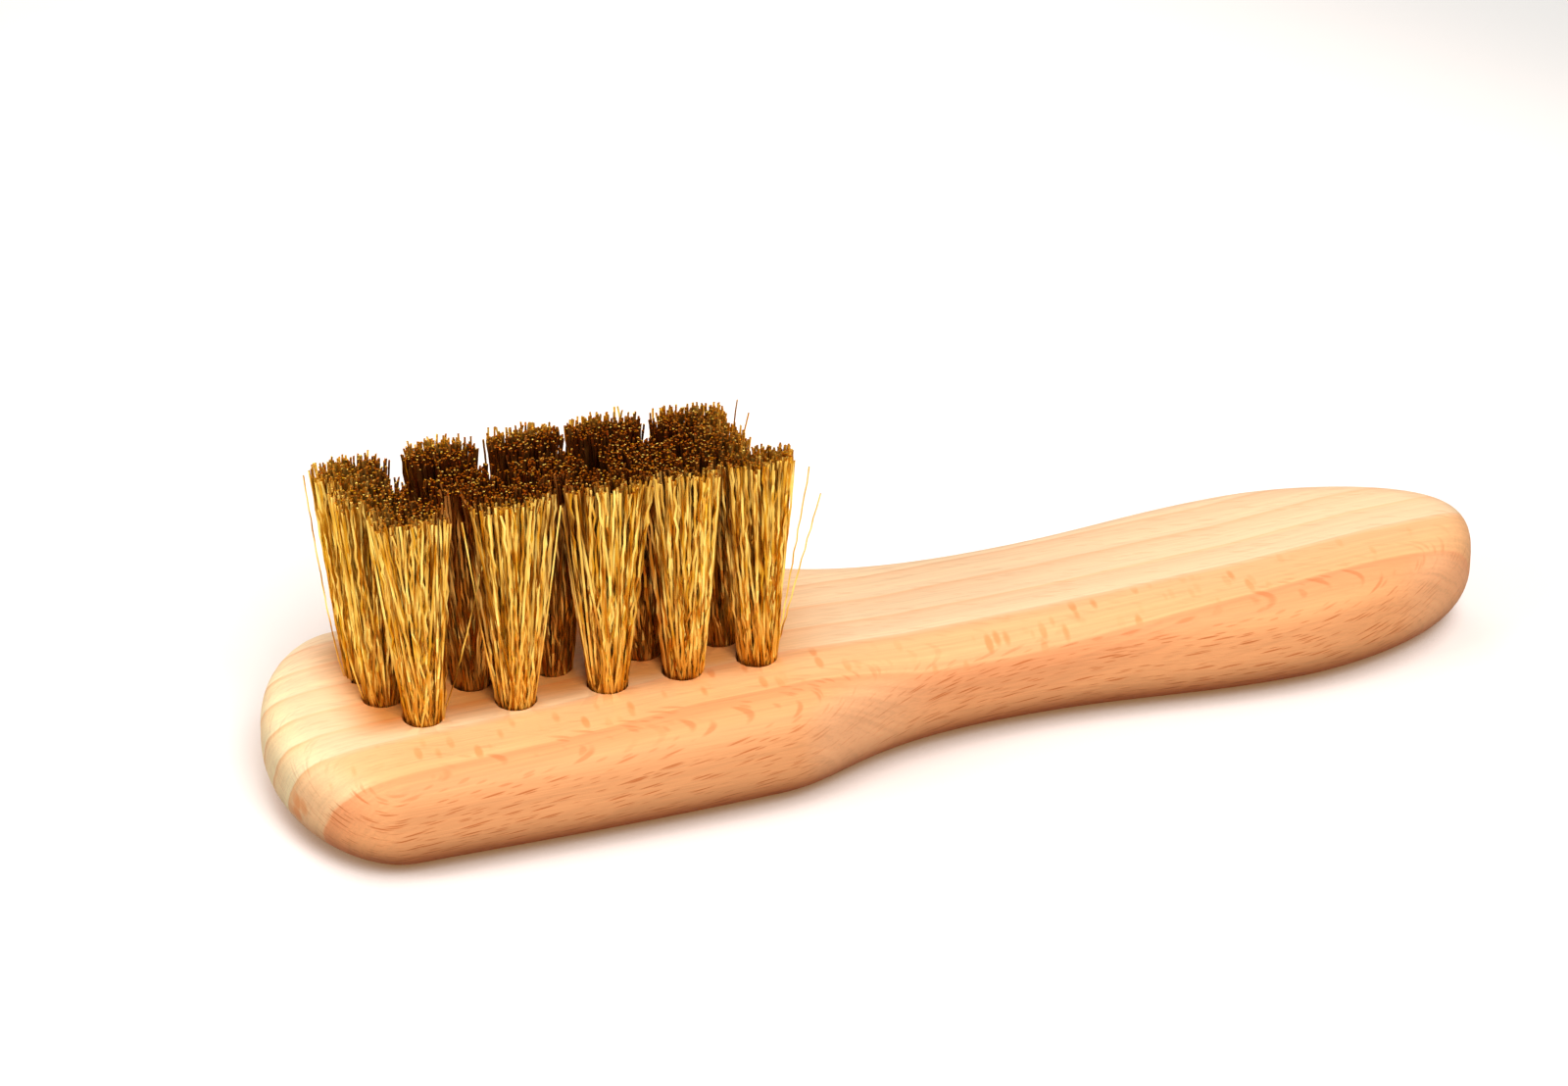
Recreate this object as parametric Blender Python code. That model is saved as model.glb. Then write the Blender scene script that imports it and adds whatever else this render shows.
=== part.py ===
"""Brass wire hand brush: a one-piece beech body with three rows of staple-set wire tufts.

The brush lies on its back. X runs from the head to the end of the handle, Y across the
brush and Z up, with the wires standing up. The origin is under the middle of the body.
"""
import math

import bmesh
import bpy
from mathutils import Matrix, Vector
from mathutils.geometry import interpolate_bezier

# Stretches of the body, along X, from the head's end to the handle's end
HEAD_END_LENGTH = 0.0112
HEAD_SIDE_LENGTH = 0.0458
SHOULDER_LENGTH = 0.0316
NECK_LENGTH = 0.0354
GRIP_END_LENGTH = 0.0270

# Half widths of the body where those stretches meet, and how much narrower than its
# corners the head has become at the shoulder
HEAD_HALF_WIDTH = 0.0190
SHOULDER_DRAW_IN = 0.0004
NECK_HALF_WIDTH = 0.0119
GRIP_HALF_WIDTH = 0.0145

# How far the outline keeps its direction beside each meeting point, as a share of the
# half width or the stretch that it runs along
HEAD_TIP_SHARE = 0.54
HEAD_CORNER_SHARE = 0.48
HEAD_SIDE_SHARE = 0.30
SHOULDER_ENTRY_SHARE = 0.50
SHOULDER_SLOPE_SHARE = 0.04
SHOULDER_EXIT_SHARE = 0.27
NECK_ENTRY_SHARE = 0.65
NECK_EXIT_SHARE = 0.44
GRIP_ENTRY_SHARE = 0.39
GRIP_EXIT_SHARE = 0.38
GRIP_TIP_SHARE = 0.63

# Thickness of the body, and how far its rounded edges reach down, up and inwards
BODY_THICKNESS = 0.0140
TOP_ROUND_DROP = 0.0068
BOTTOM_ROUND_RISE = 0.0068
TOP_ROUND = 0.0084
HEAD_TOP_ROUND = 0.0106
HANDLE_TOP_ROUND = 0.0059
BOTTOM_ROUND = 0.0068
HEAD_BOTTOM_ROUND = 0.0071
HANDLE_BOTTOM_ROUND = 0.0067
CORNER_FOLLOW_SHARE = 0.63
WIDTH_LIMIT_SHARE = 0.80
THICKNESS_LIMIT_SHARE = 0.49

# How square the rounded edges are: 2 is a plain arc
TOP_SQUARENESS = 3.4
BOTTOM_SQUARENESS = 2.0

# Blind holes for the tufts: distance between rows, and each row's first hole and length
HOLE_RADIUS = 0.00242
HOLE_DEPTH = 0.0095
ROW_PITCH = 0.0056
FRONT_ROW_START = 0.0172
MIDDLE_ROW_START = 0.0139
BACK_ROW_START = 0.0131
FRONT_ROW_LENGTH = 0.0403
MIDDLE_ROW_LENGTH = 0.0408
BACK_ROW_LENGTH = 0.0400
FRONT_HOLE_SHARES = (0.0, 0.275, 0.55, 0.775, 1.0)
MIDDLE_HOLE_SHARES = (0.0, 0.26, 0.50, 0.765, 1.0)
BACK_HOLE_SHARES = (0.0, 0.26, 0.50, 0.745, 1.0)

# Wires above the wood, and the spaces that keep neighbouring pieces apart
WIRE_HEIGHT = 0.0278
WIRE_RAGGEDNESS = 0.0007
CRIMP_DEPTH = 0.0002
TUFT_LEAN = 0.0005
TIP_CLEARANCE = 0.0004
FIT_CLEARANCE = 0.0003
CUT_OVERRUN = 0.002

# Flat anchors that hold the folded wires down
ANCHOR_THICKNESS = 0.0004
ANCHOR_HEIGHT = 0.0018
ANCHOR_BITE = 0.0008
ANCHOR_CUT = 0.00015
FOLD_HEIGHT = 0.0012

# Steps along a wire: the share of its free height, how far the tuft has spread there, how
# thick the wire still is, and which way its crimp leans
WIRE_STEP_SHARES = (
    (0.24, 0.10, 0.86, 1.0),
    (0.62, 0.50, 0.82, -1.0),
    (1.00, 1.00, 0.80, 1.0),
)

OUTLINE_STEPS = 8
ROUND_STEPS = 5
HOLE_SIDES = 16
TUFT_SIDES = 6
RAGGED_STRIDE = 7
RAGGED_CYCLE = 5
SHARP_ANGLE = 35

OVERALL_LENGTH = (HEAD_END_LENGTH + HEAD_SIDE_LENGTH + SHOULDER_LENGTH
                  + NECK_LENGTH + GRIP_END_LENGTH)
HEAD_END_X = -OVERALL_LENGTH / 2
SHOULDER_HALF_WIDTH = HEAD_HALF_WIDTH - SHOULDER_DRAW_IN
HOLE_FLOOR = BODY_THICKNESS - HOLE_DEPTH
ROOT_RADIUS = HOLE_RADIUS - FIT_CLEARANCE
ROOT_FLOOR = HOLE_FLOOR + FIT_CLEARANCE
ANCHOR_LENGTH = (HOLE_RADIUS + ANCHOR_BITE) * 2
ANCHOR_FLOOR = ROOT_FLOOR + FOLD_HEIGHT

# Rows from the front of the head to its back: name, side, first hole, length and holes
TUFT_ROWS = (
    ("front", -1, FRONT_ROW_START, FRONT_ROW_LENGTH, FRONT_HOLE_SHARES),
    ("middle", 0, MIDDLE_ROW_START, MIDDLE_ROW_LENGTH, MIDDLE_HOLE_SHARES),
    ("back", 1, BACK_ROW_START, BACK_ROW_LENGTH, BACK_HOLE_SHARES),
)


def clear_scene():
    for item in list(bpy.data.objects):
        bpy.data.objects.remove(item, do_unlink=True)


def new_collection(name):
    collection = bpy.data.collections.new(name)
    bpy.context.scene.collection.children.link(collection)
    return collection


def new_material(name, colour, roughness, metallic):
    material = bpy.data.materials.new(name)
    material.use_nodes = True
    shader = material.node_tree.nodes["Principled BSDF"]
    shader.inputs["Base Color"].default_value = (*colour, 1.0)
    shader.inputs["Roughness"].default_value = roughness
    shader.inputs["Metallic"].default_value = metallic
    return material


def object_from_bmesh(name, shape, collection, material=None):
    mesh = bpy.data.meshes.new(name)
    shape.to_mesh(mesh)
    shape.free()
    item = bpy.data.objects.new(name, mesh)
    collection.objects.link(item)
    if material:
        mesh.materials.append(material)
    return item


def cutter_from_bmesh(name, shape, cutters):
    cutter = object_from_bmesh(name, shape, cutters)
    cutter.hide_render = True
    cutter.display_type = "WIRE"
    return cutter


def add_cut(item, name, cutter):
    cut = item.modifiers.new(name, "BOOLEAN")
    cut.operation = "DIFFERENCE"
    cut.solver = "EXACT"
    cut.object = cutter


def half_outline(inward, head_inward, handle_inward):
    """Knots of the +Y side of a section that is drawn in by those lengths.

    Each knot holds its place, then its pulls towards the last and the next knot.
    """
    tip_x = HEAD_END_X + head_inward
    corner_x = HEAD_END_X + HEAD_END_LENGTH + head_inward * CORNER_FOLLOW_SHARE
    shoulder_x = HEAD_END_X + HEAD_END_LENGTH + HEAD_SIDE_LENGTH
    neck_x = shoulder_x + SHOULDER_LENGTH
    grip_x = neck_x + NECK_LENGTH
    end_x = grip_x + GRIP_END_LENGTH - handle_inward
    corner_y = HEAD_HALF_WIDTH - inward
    grip_y = GRIP_HALF_WIDTH - inward
    corner_pull = (corner_x - tip_x) * HEAD_CORNER_SHARE
    shoulder_in = HEAD_SIDE_LENGTH * SHOULDER_ENTRY_SHARE
    shoulder_out = SHOULDER_LENGTH * SHOULDER_EXIT_SHARE
    grip_pull = (end_x - grip_x) * GRIP_EXIT_SHARE
    return (
        ((tip_x, 0), None, (0, corner_y * HEAD_TIP_SHARE)),
        ((corner_x, corner_y), (-corner_pull, 0), (HEAD_SIDE_LENGTH * HEAD_SIDE_SHARE, 0)),
        ((shoulder_x, SHOULDER_HALF_WIDTH - inward),
         (-shoulder_in, shoulder_in * SHOULDER_SLOPE_SHARE),
         (shoulder_out, -shoulder_out * SHOULDER_SLOPE_SHARE)),
        ((neck_x, NECK_HALF_WIDTH - inward),
         (-SHOULDER_LENGTH * NECK_ENTRY_SHARE, 0),
         (NECK_LENGTH * NECK_EXIT_SHARE, 0)),
        ((grip_x, grip_y), (-NECK_LENGTH * GRIP_ENTRY_SHARE, 0), (grip_pull, 0)),
        ((end_x, 0), (0, grip_y * GRIP_TIP_SHARE), None),
    )


def section_points(inward, head_inward, handle_inward):
    """The points of a section: the +Y side out to the handle's end, its mirror back."""
    knots = half_outline(inward, head_inward, handle_inward)
    side = []
    for (start, _, pull_out), (end, pull_in, _) in zip(knots, knots[1:]):
        start, end = Vector(start), Vector(end)
        stretch = interpolate_bezier(start, start + Vector(pull_out),
                                     end + Vector(pull_in), end, OUTLINE_STEPS + 1)
        side.extend(point.xy for point in stretch[:-1])
    side.append(Vector(knots[-1][0]))
    return side + [Vector((point.x, -point.y)) for point in side[-2:0:-1]]


def round_steps(squareness):
    """Shares of a rounded edge's inward and upright reach, from its flat to its side."""
    for step in range(ROUND_STEPS + 1):
        angle = math.pi / 2 * step / ROUND_STEPS
        inward = 1 - math.sin(angle) ** (2 / squareness)
        upright = 1 - abs(math.cos(angle)) ** (2 / squareness)
        yield inward, upright


def body_sections():
    """Every section from the flat top down to the base: height and inward reaches."""
    widths = (HEAD_HALF_WIDTH, SHOULDER_HALF_WIDTH, NECK_HALF_WIDTH, GRIP_HALF_WIDTH)
    side_limit = min(widths) * WIDTH_LIMIT_SHARE
    upright_limit = BODY_THICKNESS * THICKNESS_LIMIT_SHARE
    drop = min(TOP_ROUND_DROP, upright_limit)
    rise = min(BOTTOM_ROUND_RISE, upright_limit)
    top = [(BODY_THICKNESS - drop * upright, min(TOP_ROUND, side_limit) * inward,
            HEAD_TOP_ROUND * inward, HANDLE_TOP_ROUND * inward)
           for inward, upright in round_steps(TOP_SQUARENESS)]
    bottom = [(rise * upright, min(BOTTOM_ROUND, side_limit) * inward,
               HEAD_BOTTOM_ROUND * inward, HANDLE_BOTTOM_ROUND * inward)
              for inward, upright in round_steps(BOTTOM_SQUARENESS)]
    return top + bottom[::-1]


def body_blank():
    """The body without its holes, lofted through its sections."""
    shape = bmesh.new()
    last = None
    for height, inward, head_inward, handle_inward in body_sections():
        points = section_points(inward, head_inward, handle_inward)
        ring = [shape.verts.new((*point, height)) for point in points]
        if last is None:
            shape.faces.new(ring)
        else:
            for number in range(len(ring)):
                shape.faces.new((last[number - 1], last[number], ring[number],
                                 ring[number - 1]))
        last = ring
    shape.faces.new(last)
    bmesh.ops.recalc_face_normals(shape, faces=shape.faces)
    return shape


def tuft_places():
    """Every tuft: its row, its number, its place, its lean and its row's spacing."""
    for row, side, start, length, shares in TUFT_ROWS:
        steps = [after - before for before, after in zip(shares, shares[1:])]
        spacing = min(steps) * length
        for number, share in enumerate(shares, 1):
            x = HEAD_END_X + start + length * share
            lean = Vector((share * 2 - 1, side, 0)) * TUFT_LEAN
            yield row, number, Vector((x, side * ROW_PITCH, 0)), lean, spacing


def flat_bar(shape, place, size):
    scale = Matrix.Diagonal((*size, 1))
    bmesh.ops.create_cube(shape, size=1, matrix=Matrix.Translation(place) @ scale)


def anchor_centre(place):
    return place + Vector((0, 0, ANCHOR_FLOOR + ANCHOR_HEIGHT / 2))


def anchor_room():
    """The size of the space that an anchor lies in."""
    room = FIT_CLEARANCE * 2
    return ANCHOR_LENGTH + room, ANCHOR_THICKNESS + room, ANCHOR_HEIGHT + room


def build_body(parts, cutters):
    beech = new_material("beech", (0.87, 0.50, 0.24), 0.5, 0.0)
    body = object_from_bmesh("wooden_body", body_blank(), parts, beech)
    holes = bmesh.new()
    notches = bmesh.new()
    depth = HOLE_DEPTH + CUT_OVERRUN
    for _, _, place, _, _ in tuft_places():
        middle = place + Vector((0, 0, HOLE_FLOOR + depth / 2))
        bmesh.ops.create_cone(holes, cap_ends=True, segments=HOLE_SIDES, depth=depth,
                              radius1=HOLE_RADIUS, radius2=HOLE_RADIUS,
                              matrix=Matrix.Translation(middle))
        flat_bar(notches, anchor_centre(place), anchor_room())
    add_cut(body, "holes", cutter_from_bmesh("hole_cutter", holes, cutters))
    add_cut(body, "notches", cutter_from_bmesh("notch_cutter", notches, cutters))
    body.data.shade_smooth()
    body.data.set_sharp_from_angle(angle=math.radians(SHARP_ANGLE))


def packed_root():
    """The folded wires packed in a hole, with one face on top for every wire."""
    shape = bmesh.new()
    bmesh.ops.create_circle(shape, cap_ends=True, segments=TUFT_SIDES, radius=ROOT_RADIUS,
                            matrix=Matrix.Translation((0, 0, BODY_THICKNESS)))
    bmesh.ops.poke(shape, faces=shape.faces)
    bmesh.ops.subdivide_edges(shape, edges=shape.edges, cuts=1, use_grid_fill=True)
    for vert in shape.verts:
        if vert.is_boundary:
            vert.co.xy = vert.co.xy.normalized() * ROOT_RADIUS
    wires = list(shape.faces)
    rim = [edge for edge in shape.edges if edge.is_boundary]
    walls = bmesh.ops.extrude_edge_only(shape, edges=rim)["geom"]
    low = [item for item in walls if isinstance(item, bmesh.types.BMVert)]
    bmesh.ops.translate(shape, verts=low, vec=(0, 0, ROOT_FLOOR - BODY_THICKNESS))
    bmesh.ops.contextual_create(shape, geom=low)
    return shape, wires


def growth(places, offsets, axis, reach):
    """How far the wires move apart along an axis for the outermost corner to reach it."""
    limits = [(reach - offset[axis]) / place[axis]
              for place, corner in zip(places, offsets)
              for offset in corner if place[axis] > FIT_CLEARANCE]
    return min(limits)


def ragged(number):
    """A small repeatable difference in length between neighbouring wires."""
    turn = (number * RAGGED_STRIDE) % RAGGED_CYCLE
    return WIRE_RAGGEDNESS * (turn / (RAGGED_CYCLE - 1) - 1)


def draw_up(shape, end, place, thinning):
    """Draw a wire's end face up to its next place, and give the new end face."""
    end = bmesh.ops.extrude_discrete_faces(shape, faces=[end])["faces"][0]
    middle = end.calc_center_median()
    for vert in end.verts:
        vert.co = place + (vert.co - middle) * thinning
    return end


def raise_wires(shape, wires, lean, tip_half_length, tip_half_width):
    """Draw every top face of the root up into a wire of three sides."""
    centres = [face.calc_center_median() for face in wires]
    corners = [[vert.co - centre for vert in face.verts]
               for face, centre in zip(wires, centres)]
    last_thickness = 1
    for height, opened, thickness, side in WIRE_STEP_SHARES:
        offsets = [[offset * thickness for offset in corner] for corner in corners]
        half_length = ROOT_RADIUS + (tip_half_length - ROOT_RADIUS) * opened
        half_width = ROOT_RADIUS + (tip_half_width - ROOT_RADIUS) * opened
        longer = growth(centres, offsets, 0, half_length)
        wider = growth(centres, offsets, 1, half_width)
        drift = lean * opened + Vector((CRIMP_DEPTH * side, 0, 0))
        thinning = thickness / last_thickness
        for number, centre in enumerate(centres):
            rise = (WIRE_HEIGHT + ragged(number)) * height
            place = Vector((centre.x * longer, centre.y * wider, centre.z + rise)) + drift
            wires[number] = draw_up(shape, wires[number], place, thinning)
        last_thickness = thickness


def tuft_shape(lean, spacing):
    shape, wires = packed_root()
    tip_half_length = (spacing - TIP_CLEARANCE) / 2
    tip_half_width = (ROW_PITCH - TIP_CLEARANCE) / 2
    raise_wires(shape, wires, lean, tip_half_length, tip_half_width)
    bmesh.ops.recalc_face_normals(shape, faces=shape.faces)
    return shape


def build_tufts(parts, cutters):
    brass = new_material("brass_wire", (0.68, 0.40, 0.10), 0.35, 1.0)
    for row, number, place, lean, spacing in tuft_places():
        tuft = object_from_bmesh(f"tuft_{row}_{number}", tuft_shape(lean, spacing), parts,
                                 brass)
        tuft.location = place
        fold = bmesh.new()
        flat_bar(fold, anchor_centre(place), anchor_room())
        add_cut(tuft, "fold", cutter_from_bmesh(f"fold_cutter_{row}_{number}", fold,
                                                cutters))


def build_anchors(parts):
    steel = new_material("anchor_steel", (0.46, 0.45, 0.43), 0.38, 1.0)
    for row, number, place, _, _ in tuft_places():
        shape = bmesh.new()
        flat_bar(shape, Vector(), (ANCHOR_LENGTH, ANCHOR_THICKNESS, ANCHOR_HEIGHT))
        ends = [edge for edge in shape.edges
                if abs(edge.verts[0].co.z - edge.verts[1].co.z) > ANCHOR_HEIGHT / 2]
        bmesh.ops.bevel(shape, geom=ends, offset=ANCHOR_CUT, affect="EDGES", segments=1,
                        profile=0.5, material=-1)
        anchor = object_from_bmesh(f"anchor_{row}_{number}", shape, parts, steel)
        anchor.location = anchor_centre(place)


def main():
    clear_scene()
    parts = new_collection("brass_brush")
    cutters = new_collection("cutters")
    build_body(parts, cutters)
    build_tufts(parts, cutters)
    build_anchors(parts)


main()
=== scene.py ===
"""Looks of a brass wire hand brush: a one-piece beech body with fifteen crimped wire tufts.

Lengths are in metres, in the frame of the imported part: X runs from the head to the end
of the handle, Y across the brush and Z up, with the wires standing up.
"""

import math
import random

import bmesh
import bpy
from mathutils import Matrix, Vector
from mathutils.geometry import interpolate_bezier


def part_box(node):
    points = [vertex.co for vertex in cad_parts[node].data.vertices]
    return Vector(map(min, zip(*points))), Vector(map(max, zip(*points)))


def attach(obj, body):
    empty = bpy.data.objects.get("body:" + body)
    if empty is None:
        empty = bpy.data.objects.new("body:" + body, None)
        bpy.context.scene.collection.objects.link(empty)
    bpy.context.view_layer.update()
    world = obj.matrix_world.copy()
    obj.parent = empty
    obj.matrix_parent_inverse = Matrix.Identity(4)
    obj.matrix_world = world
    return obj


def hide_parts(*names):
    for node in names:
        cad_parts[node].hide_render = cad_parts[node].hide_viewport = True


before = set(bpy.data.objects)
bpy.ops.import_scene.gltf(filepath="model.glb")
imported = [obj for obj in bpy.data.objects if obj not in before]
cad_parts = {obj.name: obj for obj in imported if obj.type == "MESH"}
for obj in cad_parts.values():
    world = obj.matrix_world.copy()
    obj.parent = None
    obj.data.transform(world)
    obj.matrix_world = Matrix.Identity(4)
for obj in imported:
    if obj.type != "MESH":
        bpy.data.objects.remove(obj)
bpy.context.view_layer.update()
BODY_LOW, BODY_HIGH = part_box("wooden_body")

# Stretches of the body, along X, from the head's end to the handle's end
HEAD_END_LENGTH = 0.0112
HEAD_SIDE_LENGTH = 0.0458
SHOULDER_LENGTH = 0.0316
NECK_LENGTH = 0.0354
GRIP_END_LENGTH = 0.0270

# Half widths of the body where those stretches meet
HEAD_HALF_WIDTH = 0.0190
SHOULDER_HALF_WIDTH = 0.0186
NECK_HALF_WIDTH = 0.0119
GRIP_HALF_WIDTH = 0.0145

# How far the outline keeps its direction beside each meeting point, as a share of the
# half width or the stretch that it runs along
HEAD_TIP_SHARE = 0.54
HEAD_CORNER_SHARE = 0.48
HEAD_SIDE_SHARE = 0.30
SHOULDER_ENTRY_SHARE = 0.50
SHOULDER_SLOPE_SHARE = 0.04
SHOULDER_EXIT_SHARE = 0.27
NECK_ENTRY_SHARE = 0.65
NECK_EXIT_SHARE = 0.44
GRIP_ENTRY_SHARE = 0.39
GRIP_EXIT_SHARE = 0.38
GRIP_TIP_SHARE = 0.63

# How far the rounded edges of the body reach down, up and inwards
TOP_ROUND_DROP = 0.0068
BOTTOM_ROUND_RISE = 0.0068
TOP_ROUND = 0.0084
HEAD_TOP_ROUND = 0.0106
HANDLE_TOP_ROUND = 0.0059
BOTTOM_ROUND = 0.0068
HEAD_BOTTOM_ROUND = 0.0071
HANDLE_BOTTOM_ROUND = 0.0067
CORNER_FOLLOW_SHARE = 0.63
TOP_SQUARENESS = 3.4
BOTTOM_SQUARENESS = 2.0
FLAT_MARGIN = 0.0003

OUTLINE_STEPS = 30
ROUND_STEPS = 16
SHARP_ANGLE = 40

# Drilled holes, and the narrow worn edge at their mouth
HOLE_RADIUS = 0.00242
HOLE_DEPTH = 0.0095
HOLE_SIDES = 40
MOUTH_WEAR = 0.00011
MOUTH_JITTER = 0.00007
MOUTH_ROUND_SHARES = (0.35, 0.6)
MOUTH_SEED = 4

HEAD_END_X = BODY_LOW.x
BODY_TOP = BODY_HIGH.z

# Crimped wires of a tuft: every wire is folded once, so it stands up as two strands
STRANDS = 320
STRAND_SIDES = 3
STRAND_RADIUS = 0.00015
STRAY_THICKNESS = 0.7
STRAY_CRIMP = 0.5
CRIMP_STEPS = 17
STEPS_PER_CRIMP = 2.3
CRIMP_DEPTH = 0.00013
CRIMP_VARIETY = (0.4, 1.4)
CRIMP_WARP = (0.84, 1.2)
CRIMP_SHIFT = (-0.5, 0.4)
# Painted glints along the wires: how far the tone scatters at each level, and how much of it
# carries on
GLINT_SCATTER = 0.42
GLINT_MEMORY = 0.45
CROSSING = 0.70
TWIST = (-0.5, 0.5)
WIRE_RAGGEDNESS = 0.0011
RAGGED_POWER = 1.8
WIRE_WANDER = 0.00025
TIP_JITTER = 0.00032
SPREAD_POWER = (0.72, 1.0)
TIP_SQUARENESS = 0.55
PACKING_MARGIN = 0.00006
PACKING_SHIFT = 0.00010
PACKING_LEAN = Vector((0.00010, -0.00010, 0.0))
ANCHOR_CLEARANCE = 0.00018
TIP_CUT = 0.00003
# Painted shade of the wires: deep in the block of tufts, more so towards the tips, at the
# roots and cut ends
INNER_EDGES = (0.60, 0.96)
INNER_SHADE = 0.55
INNER_TIP_SHADE = 0.35
ROOT_SHADE = 0.25
CUT_POWER = 4
ROOT_LEVEL = 2
FOLD_DROP = STRAND_RADIUS * 2
GOLDEN_ANGLE = math.pi * (3 - math.sqrt(5))
TINY = 1e-6
UP = Vector((0, 0, 1))

# Corners of the block that all the tips fill together
TIP_BLOCK = (Vector((-0.0670, -0.0088)), Vector((-0.0145, 0.0092)))

# Tips of every tuft: length along X, width along Y, how far they lean off the hole along
# X and along Y, and how high they reach
TIPS = {
    "front": ((0.0084, 0.0058, -0.0012, -0.0003, 0.0275),
              (0.0102, 0.0058, 0.0, -0.0003, 0.0276),
              (0.0098, 0.0058, 0.0001, -0.0003, 0.0276),
              (0.0090, 0.0058, 0.0, -0.0003, 0.0276),
              (0.0082, 0.0048, 0.0, -0.0008, 0.0275)),
    "middle": ((0.0086, 0.0058, -0.0005, 0.0, 0.0274),
               (0.0086, 0.0058, -0.0002, 0.0, 0.0272),
               (0.0086, 0.0058, 0.0, 0.0, 0.0272),
               (0.0086, 0.0058, 0.0, 0.0, 0.0272),
               (0.0082, 0.0056, -0.0010, 0.0, 0.0272)),
    "back": ((0.0086, 0.0058, -0.0006, 0.0004, 0.0276),
             (0.0084, 0.0060, -0.0003, 0.0008, 0.0277),
             (0.0086, 0.0060, 0.0005, 0.0008, 0.0277),
             (0.0084, 0.0060, 0.0, 0.0005, 0.0277),
             (0.0092, 0.0060, 0.0, 0.0003, 0.0270)),
}

# Wires that have sprung out of their tuft: row, number, height and where the tip ends
# from the tuft's hole along X and Y
STRAYS = (
    ("front", 5, 0.0211, 0.0075, -0.0010),
    ("front", 5, 0.0249, 0.0062, -0.0010),
    ("front", 1, 0.0235, 0.0083, -0.0010),
    ("front", 2, 0.0270, 0.0049, -0.0036),
    ("front", 2, 0.0260, -0.0062, -0.0020),
    ("front", 3, 0.0262, -0.0058, -0.0028),
    ("middle", 1, 0.0268, -0.0068, -0.0012),
    ("back", 1, 0.0276, -0.0059, 0.0),
    ("back", 5, 0.0272, 0.0064, 0.0014),
    ("back", 5, 0.0258, 0.0074, 0.0004),
)

# The camera
CAMERA_PLACE = Vector((-0.19535, -0.53732, 0.36458))
CAMERA_AIM = Vector((0.000874, 0.039834, 0.0))
CAMERA_LENS = 130.06
SENSOR_WIDTH = 36
CLIP_START = 0.01

# Light: the world is a dome that brightens towards its top, and the lamps face the brush
DOME_EDGE = 0.20
DOME_TOP = 0.44
DOME_RISE = (-0.1, 0.9)
FILL_POWER = 21.0
FILL_PLACE = Vector((0.02, -1.04, 1.06))
FILL_SIZE = 0.7
SIDE_POWER = 6.5
SIDE_PLACE = Vector((-1.12, -0.10, 0.62))
SIDE_SIZE = 0.5
BACK_POWER = 5.0
BACK_PLACE = Vector((-0.15, 1.15, 0.48))
BACK_SIZE = 0.8

# Floor: its colour as it shows, near and far, with painted shade far off and a painted contact
# shadow, and as other surfaces get it
FLOOR_SIZE = 6.0
FLOOR_COLOUR = (0.89, 0.90, 0.91)
FLOOR_FAR_SHADE = (0.76, 0.75, 0.73)
FLOOR_CONTACT_SHADOW = (0.08, 0.06, 0.05)
FLOOR_BOUNCE = (0.07, 0.04, 0.02)
FLOOR_SHINE = (0.26, 0.13, 0.05)
FAR_SHINE_FADE = 0.9
# The painted contact shadow: how far it reaches, where it starts and ends, and its samples
CONTACT_REACH = 0.0055
CONTACT_EDGES = (0.0, 0.62)
CONTACT_SAMPLES = 8

# Where the floor turns grey with painted shade, as if its light fell off behind the brush on
# the right and on the left: the shares of X and Y that are summed, and the sums where the grey
# starts and is full
FAR_RIGHT_WAY = (0.9, 0.5)
FAR_RIGHT = (0.150, 0.225)
FAR_LEFT_WAY = (-0.8, 1.0)
FAR_LEFT = (0.225, 0.285)
FAR_LEFT_SHARE = 0.5


class Flow:
    """A shader socket: sums and products of it add Math nodes to its material."""

    def __init__(self, tree, socket=None):
        self.tree = tree
        self.socket = socket

    def node(self, kind, settings=(), values=(), output=0):
        """Add a node, give it its settings and then the values or links of its sockets."""
        node = self.tree.nodes.new(kind)
        for name, setting in dict(settings).items():
            if name == "stops":
                self.set_stops(node.color_ramp, setting)
            else:
                setattr(node, name, setting)
        for name, value in dict(values).items():
            self.plug(node.inputs[name], value)
        return Flow(self.tree, node.outputs[output]) if node.outputs else node

    def output(self, name):
        """Another output of the node that this socket belongs to."""
        return Flow(self.tree, self.socket.node.outputs[name])

    def set_stops(self, ramp, stops):
        while len(ramp.elements) < len(stops):
            ramp.elements.new(1.0)
        for element, (place, colour) in zip(ramp.elements, stops):
            element.position = place
            element.color = (*colour, 1.0)

    def plug(self, socket, value):
        if isinstance(value, Flow):
            self.tree.links.new(value.socket, socket)
        elif isinstance(value, tuple) and len(value) == 3 and socket.type == "RGBA":
            socket.default_value = (*value, 1.0)
        else:
            socket.default_value = value

    def maths(self, operation, first, second=0.0):
        settings = {"operation": operation}
        return self.node("ShaderNodeMath", settings, {0: first, 1: second})

    def __add__(self, other):
        return self.maths("ADD", self, other)

    def __radd__(self, other):
        return self.maths("ADD", other, self)

    def __sub__(self, other):
        return self.maths("SUBTRACT", self, other)

    def __rsub__(self, other):
        return self.maths("SUBTRACT", other, self)

    def __mul__(self, other):
        return self.maths("MULTIPLY", self, other)

    def __rmul__(self, other):
        return self.maths("MULTIPLY", other, self)

    def __truediv__(self, other):
        return self.maths("DIVIDE", self, other)

    def between(self, low, high):
        """0 below low, 1 above high and a smooth step from one to the other."""
        settings = {"interpolation_type": "SMOOTHSTEP"}
        values = {"Value": self, "From Min": low, "From Max": high}
        return self.node("ShaderNodeMapRange", settings, values)


def new_material(name):
    """A material with a Principled BSDF: the flow for its nodes, and the shader."""
    material = bpy.data.materials.new(name)
    material.use_nodes = True
    shader = material.node_tree.nodes["Principled BSDF"]
    return material, Flow(material.node_tree), shader


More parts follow.
